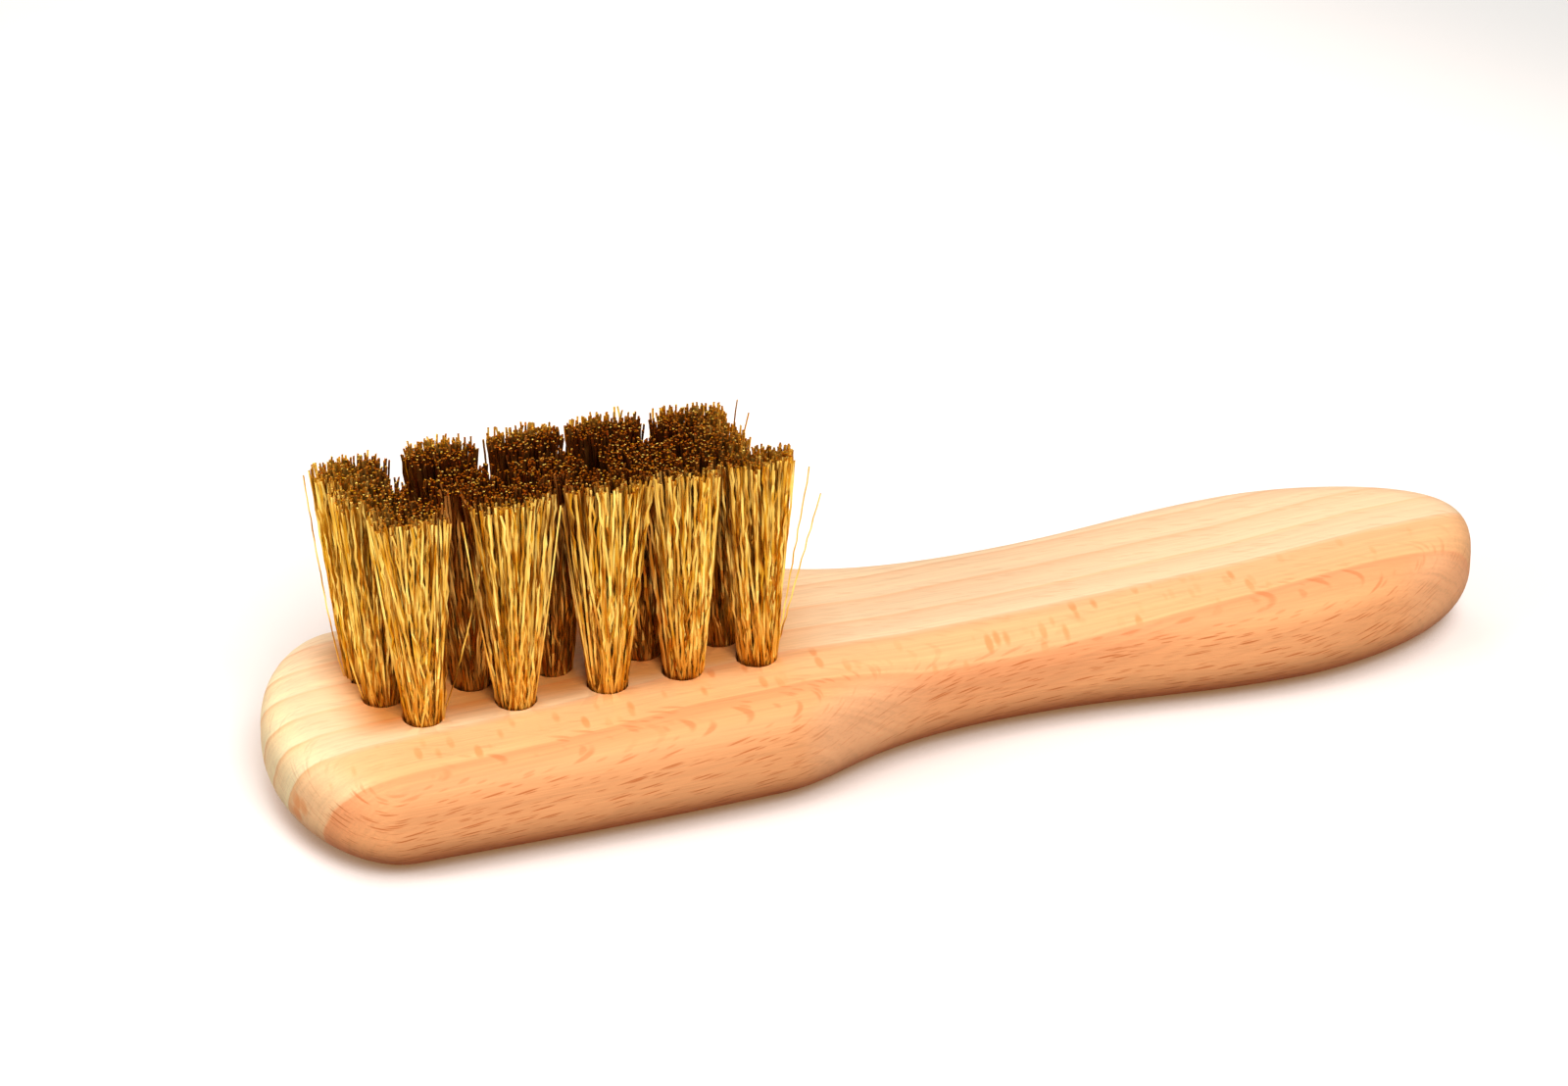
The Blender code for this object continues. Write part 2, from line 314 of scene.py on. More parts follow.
# Places of a Mix node's colour sockets, which share their names with its other sockets
MIX_FACTOR, MIX_FIRST, MIX_SECOND, MIX_RESULT = 0, 6, 7, 2


def mix_colour(flow, factor, first, second, blend="MIX"):
    settings = {"data_type": "RGBA", "blend_type": blend}
    values = {MIX_FACTOR: factor, MIX_FIRST: first, MIX_SECOND: second}
    return flow.node("ShaderNodeMix", settings, values, MIX_RESULT)


def stretched(flow, place, scale, turn=0.0):
    """Coordinates turned about X and then scaled along each axis."""
    about_x = flow.node("ShaderNodeVectorRotate", {"rotation_type": "X_AXIS"},
                        {"Vector": place, "Angle": turn})
    return flow.node("ShaderNodeVectorMath", {"operation": "MULTIPLY"},
                     {0: about_x, 1: scale})


def object_place(flow):
    return flow.node("ShaderNodeTexCoord", (), (), "Object")


def axis(flow, vector, name):
    """One of the coordinates of a vector."""
    return flow.node("ShaderNodeSeparateXYZ", (), {"Vector": vector}, name)


def noise(flow, vector, scale=1.0, detail=2.0):
    values = {"Vector": vector, "Scale": scale, "Detail": detail}
    return flow.node("ShaderNodeTexNoise", (), values)


def grey(flow, tone):
    """A value as a grey colour, which may be brighter than white."""
    return flow.node("ShaderNodeCombineColor", (), {"Red": tone, "Green": tone,
                                                    "Blue": tone})


# Beech: its rings from the front of the brush to the back, each with the place of its
# line, the colour just after the line and the colour just before the next
FIRST_WOOD = (0.968, 0.482, 0.208)
FIRST_LATE = (0.968, 0.506, 0.228)
EARLY_WOOD = (0.975, 0.660, 0.385)
LATE_WOOD = (0.970, 0.605, 0.340)
RING_LINE = (0.960, 0.535, 0.280)
# Near the first ring's line the front side is painted darker, as shade over its upper rounding
FRONT_NEAR_SHADE = (0.930, 0.370, 0.152)
FRONT_FAR = (0.980, 0.425, 0.172)
FRONT_CHANGE = -0.0100
RINGS = ((-0.0056, FIRST_WOOD, FIRST_LATE), (0.0012, EARLY_WOOD, LATE_WOOD),
         (0.0057, EARLY_WOOD, LATE_WOOD), (0.0102, EARLY_WOOD, LATE_WOOD),
         (0.0150, EARLY_WOOD, LATE_WOOD), (0.0200, EARLY_WOOD, LATE_WOOD),
         (0.0245, EARLY_WOOD, LATE_WOOD))

# The same rings where the head's end cuts across the grain
END_EARLY = (0.990, 0.780, 0.450)
END_LATE = (0.980, 0.670, 0.350)
END_LINE = (0.900, 0.490, 0.220)
END_FIRST = (0.980, 0.580, 0.290)
END_RINGS = ((RINGS[0][0], END_FIRST, END_FIRST),
             *((line, END_EARLY, END_LATE) for line, _, _ in RINGS[1:]))
END_LEAN = (0.15, 0.60)

# Where the shoulder cuts across the grain of the front side
SCOOP_WOOD = (1.000, 0.500, 0.245)
SCOOP_LEAN = (0.08, 0.38)
SCOOP_GAP = (0.020, 0.040, 0.058, 0.068)
SCOOP_SHARE = 0.7
SCOOP_EDGES = (-0.0070, -0.0050)

# Ring planes lean towards the back as they go down and drift across the brush
RING_TILT = 0.5
RING_DRIFT = 0.06
RING_SWAY = 0.0040
RING_OFFSETS = ((0.00, 0.0003), (0.20, 0.0002), (0.31, 0.0012), (0.41, 0.0011),
                (0.50, -0.0005), (0.63, -0.0010), (0.79, -0.0008), (0.90, 0.0004),
                (1.00, 0.0002))
RING_START = -0.0190
RING_END = 0.0270
LINE_WIDTH = 0.00025
LINE_FADE = 0.00100
RIPPLE_RATE = (60.0, 400.0, 400.0)
RIPPLE_REACH = 0.0006

# Fibres and streaks: how often they change along X, across the rings and along Z, per
# metre, and how much they darken or brighten the wood
FIBRE_RATE = (130.0, 4200.0, 4200.0)
FIBRE_DETAIL = 3.0
FIBRE_TONE = 0.26
FIBRE_GLOSS = 0.16
FIBRE_RELIEF = {"Strength": 0.35, "Distance": 0.00012}
STREAK_RATE = (14.0, 1700.0, 120.0)
STREAK_DETAIL = 3.0
STREAK_TONE = 0.32
SCOOP_STREAK_TONE = 0.12
WOOD_ROUGHNESS = 0.50
WOOD_SPECULAR = 0.12

# Rays: they stand square to the rings and their cells are staggered, and the grain rises
# towards the handle
RAY_TURN = math.atan(RING_TILT)
RAY_THIN_WAY = (0.0, -math.sin(RAY_TURN), math.cos(RAY_TURN))
RAY_STAGGER = 0.382
GRAIN_RISE = 0.14

# Three kinds of ray fleck: how many cells lie along X, Y and Z, per metre, how far a
# fleck fills its cell, and which cells have one
DASHES = ((190.0, 150.0, 2700.0), (0.16, 0.34), (0.10, 0.50))
SPECKS = ((380.0, 300.0, 3600.0), (0.18, 0.36), (0.10, 0.60))
SPECK_SHARE = 0.7
STROKES = ((700.0, 250.0, 250.0), (0.20, 0.42), (0.15, 0.60))

# Where flecks show: dark ones on the flat-sawn front side, reddish groups on the first
# ring
RAY_FLECK = (0.640, 0.165, 0.040)
RAY_BLUSH = (0.880, 0.330, 0.110)
RAY_SHARE = 0.85
FLAT_SAWN_EDGES = (0.60, 0.92)
FLAT_SAWN_SHARE = 0.45
FLECK_EDGES = (-0.0060, -0.0040)
FLECK_FADE = 0.7
SCOOP_FLECK_FADE = 0.6
BLUSH_BAND = (-0.0064, -0.0050, -0.0006, 0.0012)
GROUP_RATE = 75.0
GROUP_EDGES = (0.32, 0.52)

# Painted shade between the holes, standing in for the tufts' shadow and their brassy light on
# the wood
PAINTED_HOLE_SHADE = (0.640, 0.370, 0.160)
PAINTED_HOLE_SHADE_X = (-0.0690, -0.0620, -0.0235, -0.0040)
PAINTED_HOLE_SHADE_Y = (-0.0098, -0.0045, 0.0100, 0.0150)

# Painted shade along the foot of the wood, where little light reaches it near the floor
PAINTED_FOOT_SHADE = (0.780, 0.330, 0.110)
PAINTED_FOOT_HEIGHT = (0.0002, 0.0052)


def ring_stops(rings, line_colour):
    """Stops of the ramp that colours the wood across its rings."""
    span = RING_END - RING_START
    stops = [(0.0, FRONT_FAR), ((FRONT_CHANGE - RING_START) / span, FRONT_FAR)]
    before, dark = FRONT_NEAR_SHADE, FRONT_NEAR_SHADE
    for line, after, late in rings:
        share = (line - RING_START) / span
        stops.append((share - LINE_FADE / span, before))
        stops.append((share - LINE_WIDTH / span, dark))
        stops.append((share, after))
        before, dark = late, line_colour
    return stops


def sway_stops():
    """Stops of the ramp that sways the rings along the brush: 0.5 is no offset."""
    return [(place, (0.5 + offset / RING_SWAY,) * 3) for place, offset in RING_OFFSETS]


def plateau(value, first, second, third, fourth):
    """0 up to the first value, 1 from the second to the third, 0 from the fourth on."""
    return value.between(first, second) * (1.0 - value.between(third, fourth))


def rays(flow, place, scale, edge, chosen):
    """Spindle-shaped flecks that lie along the grain and stand across the rings."""
    cell_place = stretched(flow, place, scale, -RAY_TURN)
    x, y, z = (axis(flow, cell_place, name) for name in "XYZ")
    z = z - x * (GRAIN_RISE * scale[2] / scale[0])
    staggered = flow.node("ShaderNodeCombineXYZ", (), {"X": x + z * RAY_STAGGER, "Y": y,
                                                       "Z": z})
    cells = flow.node("ShaderNodeTexVoronoi", {"feature": "F1"},
                      {"Vector": staggered, "Scale": 1.0})
    strength = flow.node("ShaderNodeSeparateColor", (), {"Color": cells.output("Color")})
    return (1.0 - cells.between(*edge)) * strength.between(*chosen)


def ring_place(flow, place):
    """Where a point lies across the rings, on the scale of RINGS."""
    x, y, z = (axis(flow, place, name) for name in "XYZ")
    along = (x - BODY_LOW.x) / (BODY_HIGH.x - BODY_LOW.x)
    sway = flow.node("ShaderNodeValToRGB", {"stops": sway_stops()}, {"Fac": along})
    ripple = noise(flow, stretched(flow, place, RIPPLE_RATE))
    straight = y + z * RING_TILT - x * RING_DRIFT
    return straight - (sway - 0.5) * RING_SWAY + (ripple - 0.5) * RIPPLE_REACH


def ringed_wood(flow, ring, end_share):
    """The colours of the rings, along the grain and where the head's end cuts it."""
    share = (ring - RING_START) / (RING_END - RING_START)
    side, end = (flow.node("ShaderNodeValToRGB", {"stops": ring_stops(rings, line_colour)},
                           {"Fac": share})
                 for rings, line_colour in ((RINGS, RING_LINE), (END_RINGS, END_LINE)))
    return mix_colour(flow, end_share, side, end)


def grain_tone(flow, place, ring, fibres, scoop):
    """A grey about 1 that follows the fibres and the streaks of the rings."""
    along, across, upward = STREAK_RATE
    lamella = flow.node("ShaderNodeCombineXYZ", (), {
        "X": axis(flow, place, "X") * along, "Y": ring * across,
        "Z": axis(flow, place, "Z") * upward})
    streaks = noise(flow, lamella, detail=STREAK_DETAIL)
    streak_tone = scoop * SCOOP_STREAK_TONE + STREAK_TONE
    return grey(flow, (fibres - 0.5) * FIBRE_TONE + (streaks - 0.5) * streak_tone + 1.0)


def blushes(flow, place, ring):
    """How reddish the first ring is: short strokes that stand in groups."""
    groups = noise(flow, place, scale=GROUP_RATE, detail=1.0)
    strokes = rays(flow, place, *STROKES) * groups.between(*GROUP_EDGES)
    return strokes * plateau(ring, *BLUSH_BAND)


def flecks(flow, place, ring, facing, scoop):
    """How dark the wood is at the long and the short flecks of its rays."""
    across_rings = flow.node("ShaderNodeVectorMath", {"operation": "DOT_PRODUCT"},
                             {0: facing, 1: RAY_THIN_WAY}, "Value")
    flat_sawn = 1.0 - flow.maths("ABSOLUTE", across_rings).between(*FLAT_SAWN_EDGES)
    near_front = 1.0 - ring.between(*FLECK_EDGES) * FLECK_FADE
    share = near_front * (flat_sawn * FLAT_SAWN_SHARE + (1.0 - FLAT_SAWN_SHARE))
    dashes = rays(flow, place, *DASHES)
    specks = rays(flow, place, *SPECKS) * SPECK_SHARE
    return flow.maths("MAXIMUM", dashes, specks) * share * (1.0 - scoop * SCOOP_FLECK_FADE)


def beech():
    material, flow, shader = new_material("beech")
    place = object_place(flow)
    x, y, z = (axis(flow, place, name) for name in "XYZ")
    ring = ring_place(flow, place)
    facing = flow.node("ShaderNodeNewGeometry", (), (), "Normal")
    lean = axis(flow, facing, "X")
    front = 1.0 - ring.between(*SCOOP_EDGES)
    scoop = lean.between(*SCOOP_LEAN) * (1.0 - plateau(x, *SCOOP_GAP)) * front
    fibres = noise(flow, stretched(flow, place, FIBRE_RATE), detail=FIBRE_DETAIL)

    wood = ringed_wood(flow, ring, (lean * -1.0).between(*END_LEAN))
    wood = mix_colour(flow, scoop * SCOOP_SHARE, wood, SCOOP_WOOD)
    tone = grain_tone(flow, place, ring, fibres, scoop)
    wood = mix_colour(flow, 1.0, wood, tone, "MULTIPLY")
    wood = mix_colour(flow, blushes(flow, place, ring) * RAY_SHARE, wood, RAY_BLUSH)
    dark = flecks(flow, place, ring, facing, scoop)
    wood = mix_colour(flow, dark * RAY_SHARE, wood, RAY_FLECK)
    # Painted shade: the wood turns darker towards its foot
    wood = mix_colour(flow, 1.0 - z.between(*PAINTED_FOOT_HEIGHT), wood, PAINTED_FOOT_SHADE, "MULTIPLY")
    # Painted shade: the wood between the holes is darkened and tinted, as if shadowed and lit
    # by the wires
    shaded_between_holes = plateau(x, *PAINTED_HOLE_SHADE_X) * plateau(y, *PAINTED_HOLE_SHADE_Y)
    wood = mix_colour(flow, shaded_between_holes, wood, PAINTED_HOLE_SHADE, "MULTIPLY")

    flow.plug(shader.inputs["Base Color"], wood)
    flow.plug(shader.inputs["Roughness"], fibres * FIBRE_GLOSS + WOOD_ROUGHNESS)
    shader.inputs["Specular IOR Level"].default_value = WOOD_SPECULAR
    relief = flow.node("ShaderNodeBump", (), {**FIBRE_RELIEF, "Height": fibres})
    flow.plug(shader.inputs["Normal"], relief)
    return material


# Brass: bright and dull wire with painted glints, painted shade of inner, root and cut wire,
# and the grazing tint
BRASS_BRIGHT = (0.980, 0.760, 0.195)
BRASS_DULL = (0.615, 0.305, 0.018)
BRASS_PAINTED_SHADE = (0.300, 0.060, 0.008)
BRASS_EDGE = (1.000, 0.620, 0.240)
BRASS_STAIN_RATE = (900.0, 900.0, 350.0)
BRASS_STAIN_SHARE = 0.3
BRASS_STAIN_GLOSS = 0.20
BRASS_ROUGHNESS = 0.30

# Steel: its two tones, and how often they change along X, Y and Z, per metre
STEEL_DARK = (0.40, 0.39, 0.37)
STEEL_BRIGHT = (0.56, 0.55, 0.53)
STEEL_RATE = (300.0, 9000.0, 9000.0)
STEEL_GLOSS = 0.20
STEEL_ROUGHNESS = 0.28


def brass():
    material, flow, shader = new_material("crimped_brass")
    tone = flow.node("ShaderNodeAttribute", {"attribute_name": "wire_tone"}, (), "Fac")
    shade = flow.node("ShaderNodeAttribute", {"attribute_name": "wire_shade"}, (), "Fac")
    stains = noise(flow, stretched(flow, object_place(flow), BRASS_STAIN_RATE))
    brightness = tone * (1.0 - BRASS_STAIN_SHARE) + stains * BRASS_STAIN_SHARE
    colour = mix_colour(flow, brightness, BRASS_DULL, BRASS_BRIGHT)
    # Painted shade: wire inside the tufts, at the roots and at the cut ends turns to the dark
    # colour
    flow.plug(shader.inputs["Base Color"], mix_colour(flow, shade, colour, BRASS_PAINTED_SHADE))
    flow.plug(shader.inputs["Roughness"], stains * BRASS_STAIN_GLOSS + BRASS_ROUGHNESS)
    shader.inputs["Metallic"].default_value = 1.0
    shader.inputs["Specular Tint"].default_value = (*BRASS_EDGE, 1.0)
    return material


def steel():
    material, flow, shader = new_material("flat_steel")
    drawn = noise(flow, stretched(flow, object_place(flow), STEEL_RATE))
    colour = mix_colour(flow, drawn, STEEL_DARK, STEEL_BRIGHT)
    flow.plug(shader.inputs["Base Color"], colour)
    flow.plug(shader.inputs["Roughness"], drawn * STEEL_GLOSS + STEEL_ROUGHNESS)
    shader.inputs["Metallic"].default_value = 1.0
    return material


def half_outline(inward, head_inward, handle_inward):
    """Knots of the +Y side of a section that is drawn in by those lengths.

    Each knot holds its place, then its pulls towards the last and the next knot.
    """
    tip_x = HEAD_END_X + head_inward
    corner_x = HEAD_END_X + HEAD_END_LENGTH + head_inward * CORNER_FOLLOW_SHARE
    shoulder_x = HEAD_END_X + HEAD_END_LENGTH + HEAD_SIDE_LENGTH
    neck_x = shoulder_x + SHOULDER_LENGTH
    grip_x = neck_x + NECK_LENGTH
    end_x = grip_x + GRIP_END_LENGTH - handle_inward
    corner_y = HEAD_HALF_WIDTH - inward
    grip_y = GRIP_HALF_WIDTH - inward
    corner_pull = (corner_x - tip_x) * HEAD_CORNER_SHARE
    shoulder_in = HEAD_SIDE_LENGTH * SHOULDER_ENTRY_SHARE
    shoulder_out = SHOULDER_LENGTH * SHOULDER_EXIT_SHARE
    grip_pull = (end_x - grip_x) * GRIP_EXIT_SHARE
    return (
        ((tip_x, 0), None, (0, corner_y * HEAD_TIP_SHARE)),
        ((corner_x, corner_y), (-corner_pull, 0), (HEAD_SIDE_LENGTH * HEAD_SIDE_SHARE, 0)),
        ((shoulder_x, SHOULDER_HALF_WIDTH - inward),
         (-shoulder_in, shoulder_in * SHOULDER_SLOPE_SHARE),
         (shoulder_out, -shoulder_out * SHOULDER_SLOPE_SHARE)),
        ((neck_x, NECK_HALF_WIDTH - inward),
         (-SHOULDER_LENGTH * NECK_ENTRY_SHARE, 0),
         (NECK_LENGTH * NECK_EXIT_SHARE, 0)),
        ((grip_x, grip_y), (-NECK_LENGTH * GRIP_ENTRY_SHARE, 0), (grip_pull, 0)),
        ((end_x, 0), (0, grip_y * GRIP_TIP_SHARE), None),
    )


def section_points(inward, head_inward, handle_inward):
    """The points of a section: the +Y side out to the handle's end, its mirror back."""
    knots = half_outline(inward, head_inward, handle_inward)
    side = []
    for (start, _, pull_out), (end, pull_in, _) in zip(knots, knots[1:]):
        start, end = Vector(start), Vector(end)
        stretch = interpolate_bezier(start, start + Vector(pull_out),
                                     end + Vector(pull_in), end, OUTLINE_STEPS + 1)
        side.extend(point.xy for point in stretch[:-1])
    side.append(Vector(knots[-1][0]))
    return side + [Vector((point.x, -point.y)) for point in side[-2:0:-1]]


def round_steps(squareness):
    """Shares of a rounded edge's inward and upright reach, from its flat to its side."""
    for step in range(ROUND_STEPS + 1):
        angle = math.pi / 2 * step / ROUND_STEPS
        inward = 1 - math.sin(angle) ** (2 / squareness)
        upright = 1 - abs(math.cos(angle)) ** (2 / squareness)
        yield inward, upright


def body_sections():
    """Every section from the flat top down to the base: height and inward reaches."""
    top = [(BODY_TOP - TOP_ROUND_DROP * upright, TOP_ROUND * inward,
            HEAD_TOP_ROUND * inward, HANDLE_TOP_ROUND * inward)
           for inward, upright in round_steps(TOP_SQUARENESS)]
    bottom = [(BOTTOM_ROUND_RISE * upright, BOTTOM_ROUND * inward,
               HEAD_BOTTOM_ROUND * inward, HANDLE_BOTTOM_ROUND * inward)
              for inward, upright in round_steps(BOTTOM_SQUARENESS)]
    return [flat_section(top[0])] + top + bottom[::-1] + [flat_section(bottom[0])]


def flat_section(section):
    """A section a little further in, so that the flat face keeps its own direction."""
    height, *reaches = section
    return (height, *(reach + FLAT_MARGIN for reach in reaches))


def section_ring(shape, height, *reaches):
    """The edges of a section, as one closed loop."""
    verts = [shape.verts.new((*point, height)) for point in section_points(*reaches)]
    return [shape.edges.new((verts[number - 1], vert)) for number, vert in enumerate(verts)]


def hole_mouth(shape, place):
    """A circle in the flat face, where the worn edge of a hole begins."""
    middle = Matrix.Translation((place.x, place.y, BODY_TOP))
    circle = bmesh.ops.create_circle(shape, segments=HOLE_SIDES, matrix=middle,
                                     radius=HOLE_RADIUS + MOUTH_WEAR)
    edges = (edge for vert in circle["verts"] for edge in vert.link_edges)
    return list(dict.fromkeys(edges))


def sink_hole(shape, place, mouth, chance):
    """Draw the edge of a mouth down into a blind hole, a little unevenly."""
    drop_share, narrow_share = MOUTH_ROUND_SHARES
    steps = ((MOUTH_WEAR * drop_share, MOUTH_WEAR * narrow_share),
             (MOUTH_WEAR, MOUTH_WEAR), (HOLE_DEPTH, MOUTH_WEAR))
    rim = mouth
    for depth, narrower in steps:
        grown = bmesh.ops.extrude_edge_only(shape, edges=rim)["geom"]
        rim = [item for item in grown if isinstance(item, bmesh.types.BMEdge)]
        for vert in (item for item in grown if isinstance(item, bmesh.types.BMVert)):
            outward = (vert.co - place).xy.normalized()
            radius = HOLE_RADIUS + MOUTH_WEAR - narrower + chance.uniform(-1, 1) * MOUTH_JITTER
            vert.co.xy = place.xy + outward * radius
            vert.co.z = BODY_TOP - depth
    bmesh.ops.contextual_create(shape, geom=rim)


def settle_order(parts):
    """Put edges or faces in the order of their corners: extruding leaves it to chance."""
    ordered = sorted(parts, key=lambda part: sorted(vert.index for vert in part.verts))
    for number, part in enumerate(ordered):
        part.index = number
    parts.sort()


def body_mesh(places):
    shape = bmesh.new()
    rings = [section_ring(shape, *section) for section in body_sections()]
    for upper, lower in zip(rings, rings[1:]):
        bmesh.ops.bridge_loops(shape, edges=upper + lower)
    mouths = [hole_mouth(shape, place) for place in places]
    face_edges = rings[0] + [edge for mouth in mouths for edge in mouth]
    bmesh.ops.triangle_fill(shape, use_beauty=True, normal=UP, edges=face_edges)
    bmesh.ops.triangle_fill(shape, use_beauty=True, normal=-UP, edges=rings[-1])
    chance = random.Random(MOUTH_SEED)
    for place, mouth in zip(places, mouths):
        sink_hole(shape, place, mouth, chance)
    shape.verts.index_update()
    settle_order(shape.edges)
    settle_order(shape.faces)
    bmesh.ops.recalc_face_normals(shape, faces=shape.faces)
    return shape


def finish_piece(name, shape, material, node):
    """Make a piece of a finished shape, shown in place of one node of the part."""
    mesh = bpy.data.meshes.new(name)
    shape.to_mesh(mesh)
    shape.free()
    mesh.materials.append(material)
    piece = bpy.data.objects.new(name, mesh)
    bpy.context.scene.collection.objects.link(piece)
    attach(piece, "root")
    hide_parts(node)
    return piece


def build_body(places):
    piece = finish_piece("beech_body", body_mesh(places), beech(), "wooden_body")
    piece.data.shade_smooth()
    piece.data.set_sharp_from_angle(angle=math.radians(SHARP_ANGLE))


def hole_place(row, number):
    """The middle of a hole in the flat face: its anchor lies right below it."""
    low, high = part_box(f"anchor_{row}_{number}")
    middle = (low + high) / 2
    return Vector((middle.x, middle.y, BODY_TOP))


def packed_strands():
    """Places of the strands in a hole, as shares of its radius, in pairs of one wire."""
    for number in range(STRANDS):
        radius = math.sqrt((number + 0.5) / STRANDS)
        angle = GOLDEN_ANGLE * number
        place = Vector((math.cos(angle), math.sin(angle))) * radius
        if place.y > 0:
            yield place
            yield Vector((place.x, -place.y))


def squared(share, swing):
    """A place in a round tuft, swung round it and moved out into the squarer tips."""
    share = Matrix.Rotation(swing, 2) @ share
    reach = max(abs(share.x), abs(share.y), TINY)
    stretch = share.length / reach
    return share * (1 + (stretch - 1) * TIP_SQUARENESS)


def turned(length, angle):
    return Vector((math.cos(angle), math.sin(angle), 0)) * length


def strand_path(place, share, tip, chance, crimped=1.0):
    """Points of a strand: under its anchor, beside it, at the wood and up to its tip."""
    anchor_low, anchor_high = (corner.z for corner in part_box("anchor_front_1"))
    packed = share * (HOLE_RADIUS - STRAND_RADIUS - PACKING_MARGIN)
    side = math.copysign(ANCHOR_CLEARANCE + STRAND_RADIUS, packed.y)
    beside = Vector((packed.x, packed.y + side * (1 - abs(share.y)), 0))
    fold = Vector((packed.x, 0, 0))
    start = Vector((*packed, 0)) + place
    points = [
        (place + fold).xy.to_3d() + UP * (anchor_low - FOLD_DROP),
        (place + beside).xy.to_3d() + UP * anchor_high,
        start,
    ]
    depth = CRIMP_DEPTH * crimped * chance.uniform(*CRIMP_VARIETY)
    crimp = turned(depth, chance.uniform(0, math.tau))
    wander = turned(WIRE_WANDER * chance.uniform(0, 1), chance.uniform(0, math.tau))
    phase = chance.uniform(0, math.tau)
    shift = chance.uniform(*CRIMP_SHIFT)
    warp = chance.uniform(*CRIMP_WARP)
    spread = chance.uniform(*SPREAD_POWER)
    travel = place + tip - start
    for step in range(1, CRIMP_STEPS + 1):
        bend = crimp * math.sin(math.tau * step / STEPS_PER_CRIMP + phase)
        rise = ((step + shift) / CRIMP_STEPS) ** warp if step < CRIMP_STEPS else 1
        sideways = travel.xy.to_3d() * rise ** spread
        sway = wander * math.sin(math.pi * rise)
        points.append(start + sideways + UP * travel.z * rise + sway + bend)
    return points + [points[-1] + UP * TIP_CUT]


def inside_share(tip):
    """How deep a tip stands inside the whole block of tufts: 0 at its edge, 1 within."""
    low, high = TIP_BLOCK
    middle, half = (low + high) / 2, (high - low) / 2
    edge = max(abs(tip.x - middle.x) / half.x, abs(tip.y - middle.y) / half.y)
    start, end = INNER_EDGES
    depth = min(max((end - edge) / (end - start), 0), 1)
    return depth * depth * (3 - 2 * depth)


def tuft_strands(row, number, place):
    """Every strand of a tuft: its path, how thick it is and how deep inside it stands."""
    chance = random.Random(f"{row} {number}")
    length, width, lean_x, lean_y, height = TIPS[row][number - 1]
    shift = PACKING_LEAN + turned(PACKING_SHIFT, chance.uniform(0, math.tau))
    for share in packed_strands():
        spot = squared(share, chance.gauss(0, CROSSING))
        ragged = chance.uniform(0, 1) ** RAGGED_POWER * WIRE_RAGGEDNESS
        tip = Vector((spot.x * length / 2 + lean_x + chance.gauss(0, TIP_JITTER),
                      spot.y * width / 2 + lean_y + chance.gauss(0, TIP_JITTER),
                      height - ragged))
        path = strand_path(place + shift, share, tip, chance)
        yield path, STRAND_RADIUS, inside_share(place + tip)
    for stray_row, stray_number, height, tip_x, tip_y in STRAYS:
        if (stray_row, stray_number) == (row, number):
            tip = Vector((tip_x, tip_y, height))
            path = strand_path(place, tip.xy.normalized(), tip, chance, STRAY_CRIMP)
            yield path, STRAND_RADIUS * STRAY_THICKNESS, 0


def wire_shade(level, last, depth):
    """How dark a strand is at a level, as painted shade: inside the block, and where it meets
    the wood.
    """
    if level <= ROOT_LEVEL:
        return max(ROOT_SHADE, depth * INNER_SHADE)
    rise = (level - ROOT_LEVEL) / (last - ROOT_LEVEL)
    return depth * (INNER_SHADE + INNER_TIP_SHADE * rise * rise)


def tuft_mesh(row, number, place):
    """All strands of a tuft, drawn up together from a small face for each."""
    shape = bmesh.new()
    strand = shape.verts.layers.int.new("strand")
    corner = shape.verts.layers.int.new("corner")
    tone = shape.verts.layers.float.new("wire_tone")
    shade = shape.verts.layers.float.new("wire_shade")
    chance = random.Random(f"tone {row} {number}")
    strands = list(tuft_strands(row, number, place))
    ends = []
    for index in range(len(strands)):
        circle = bmesh.ops.create_circle(shape, cap_ends=True, segments=STRAND_SIDES,
                                         radius=STRAND_RADIUS)
        for turn, vert in enumerate(circle["verts"]):
            vert[strand] = index
            vert[corner] = turn
        ends.append(circle["verts"][0].link_faces[0])
    spins = [chance.uniform(0, math.tau) for _ in strands]
    tones = [chance.uniform(0, 1) for _ in strands]
    twists = [chance.uniform(*TWIST) for _ in strands]
    # The cut ends are painted dark, as shade of the tuft tops
    cuts = [1 - chance.uniform(0, 1) ** CUT_POWER for _ in strands]
    glint_drift = [0.0 for _ in strands]
    last = len(strands[0][0]) - 1
    for level in range(last + 1):
        if level:
            ends = bmesh.ops.extrude_discrete_faces(shape, faces=ends)["faces"]
        # Painted glints: the tone wanders along each strand in bright and dull dashes, on top
        # of its random tone
        glint_drift = [value * GLINT_MEMORY + chance.gauss(0, GLINT_SCATTER) for value in glint_drift]
        for face in ends:
            for vert in face.verts:
                index = vert[strand]
                path, radius, depth = strands[index]
                angle = spins[index] + twists[index] * level
                angle += math.tau * vert[corner] / STRAND_SIDES
                vert.co = path[level] + turned(radius, angle)
                vert[tone] = tones[index] + glint_drift[index]
                vert[shade] = wire_shade(level, last, depth)
                if level == last:
                    vert[shade] = cuts[index]
    bmesh.ops.recalc_face_normals(shape, faces=shape.faces)
    return shape


def build_tufts(places):
    material = brass()
    for (row, number), place in places.items():
        finish_piece(f"wires_{row}_{number}", tuft_mesh(row, number, place),
                     material, f"tuft_{row}_{number}")


def finish_anchors():
    material = steel()
    for name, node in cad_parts.items():
        if name.startswith("anchor_"):
            for slot in node.material_slots:
                slot.material = material


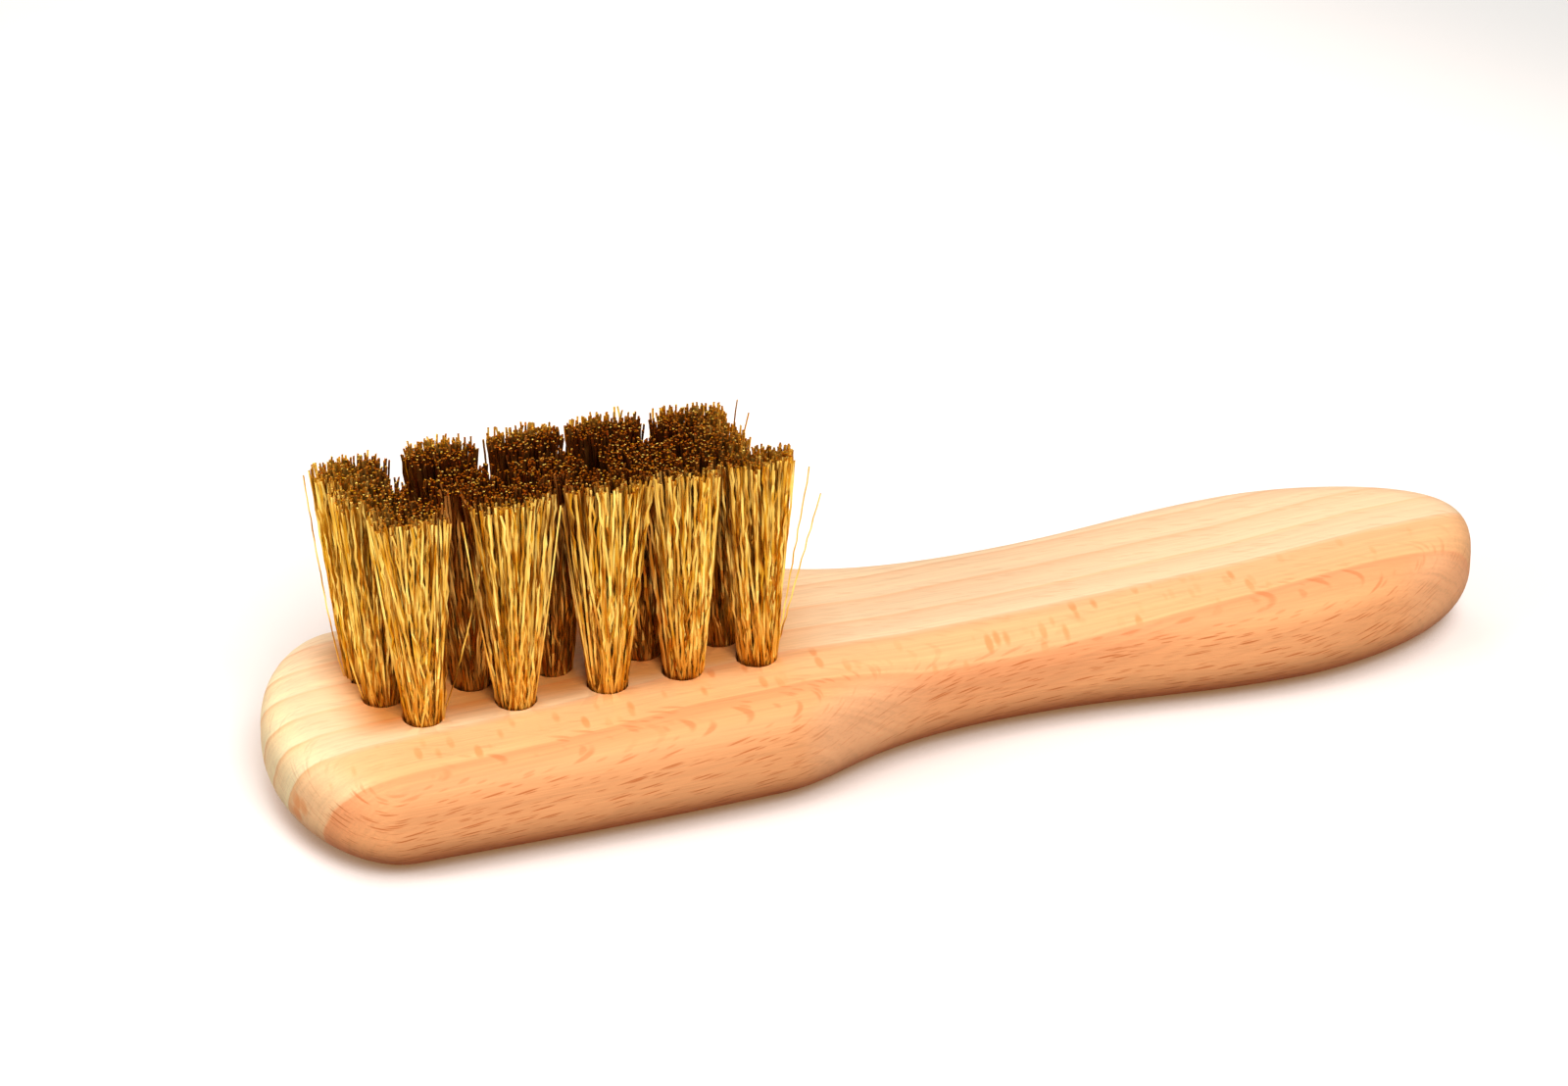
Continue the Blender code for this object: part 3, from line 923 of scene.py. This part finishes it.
def build_floor():
    """A wide pale floor that shows as white and keeps the brush's shadow."""
    shape = bmesh.new()
    bmesh.ops.create_grid(shape, x_segments=1, y_segments=1, size=FLOOR_SIZE / 2)
    mesh = bpy.data.meshes.new("floor")
    shape.to_mesh(mesh)
    shape.free()
    floor = bpy.data.objects.new("floor", mesh)
    bpy.context.scene.collection.objects.link(floor)
    mesh.materials.append(floor_paper())


def seen_directly(flow):
    """1 for rays of the camera and of mirrors and glass, 0 for light itself."""
    path = flow.node("ShaderNodeLightPath")
    kinds = ("Is Camera Ray", "Is Glossy Ray", "Is Transmission Ray")
    camera, glossy, through = (path.output(name) for name in kinds)
    return flow.maths("MINIMUM", camera + glossy + through, 1.0)


def far_share(flow, way, edges):
    """How far the floor has turned grey, as painted shade, at a place on one side."""
    place = object_place(flow)
    share_x, share_y = way
    x, y = axis(flow, place, "X"), axis(flow, place, "Y")
    return (x * share_x + y * share_y).between(*edges)


def floor_paper():
    material = bpy.data.materials.new("floor_paper")
    material.use_nodes = True
    flow = Flow(material.node_tree)
    material.node_tree.nodes.clear()
    seen = seen_directly(flow)
    right = far_share(flow, FAR_RIGHT_WAY, FAR_RIGHT)
    left = far_share(flow, FAR_LEFT_WAY, FAR_LEFT) * FAR_LEFT_SHARE
    far = flow.maths("MAXIMUM", right, left)
    open_share = flow.node("ShaderNodeAmbientOcclusion", {"samples": CONTACT_SAMPLES},
                           {"Distance": CONTACT_REACH}, "AO")
    # Painted shade: the floor turns grey far behind the brush, and its glow fades there
    paper = mix_colour(flow, far, FLOOR_COLOUR, FLOOR_FAR_SHADE)
    # Painted contact shadow: the floor darkens where the brush closes it in
    paper = mix_colour(flow, open_share.between(*CONTACT_EDGES), FLOOR_CONTACT_SHADOW, paper)
    matte = flow.node("ShaderNodeBsdfDiffuse", (),
                      {"Color": mix_colour(flow, seen, FLOOR_BOUNCE, paper)})
    glow = flow.node("ShaderNodeEmission", (), {"Color": FLOOR_SHINE, "Strength": seen})
    glow = flow.node("ShaderNodeMixShader", (), {0: far * FAR_SHINE_FADE, 1: glow})
    both = flow.node("ShaderNodeAddShader", (), {0: matte, 1: glow})
    flow.node("ShaderNodeOutputMaterial", (), {"Surface": both})
    return material


def build_world():
    world = bpy.data.worlds.new("studio")
    bpy.context.scene.world = world
    world.use_nodes = True
    flow = Flow(world.node_tree)
    world.node_tree.nodes.clear()
    shown = seen_directly(flow)
    direction = flow.node("ShaderNodeTexCoord", (), (), "Generated")
    up = axis(flow, direction, "Z")
    dome = up.between(*DOME_RISE) * (DOME_TOP - DOME_EDGE) + DOME_EDGE
    level = dome + shown * (1.0 - dome)
    sky = flow.node("ShaderNodeBackground", (), {"Strength": level})
    flow.node("ShaderNodeOutputWorld", (), {"Surface": sky})


def add_lamp(name, place, size, power):
    """A square soft lamp that faces the brush."""
    lamp = bpy.data.lights.new(name, "AREA")
    lamp.size = size
    lamp.energy = power
    holder = bpy.data.objects.new(name, lamp)
    holder.location = place
    holder.rotation_euler = (-place).to_track_quat("-Z", "Y").to_euler()
    bpy.context.scene.collection.objects.link(holder)


def build_camera():
    lens = bpy.data.cameras.new("camera")
    lens.lens = CAMERA_LENS
    lens.sensor_width = SENSOR_WIDTH
    lens.clip_start = CLIP_START
    camera = bpy.data.objects.new("camera", lens)
    camera.location = CAMERA_PLACE
    camera.rotation_euler = (CAMERA_AIM - CAMERA_PLACE).to_track_quat("-Z", "Y").to_euler()
    bpy.context.scene.collection.objects.link(camera)
    bpy.context.scene.camera = camera


def main():
    bpy.context.scene.view_settings.view_transform = "Standard"
    places = {(row, number): hole_place(row, number)
              for row, tips in TIPS.items() for number in range(1, len(tips) + 1)}
    build_body(list(places.values()))
    build_tufts(places)
    finish_anchors()
    build_floor()
    build_world()
    add_lamp("fill", FILL_PLACE, FILL_SIZE, FILL_POWER)
    add_lamp("side", SIDE_PLACE, SIDE_SIZE, SIDE_POWER)
    add_lamp("back", BACK_PLACE, BACK_SIZE, BACK_POWER)
    build_camera()


main()
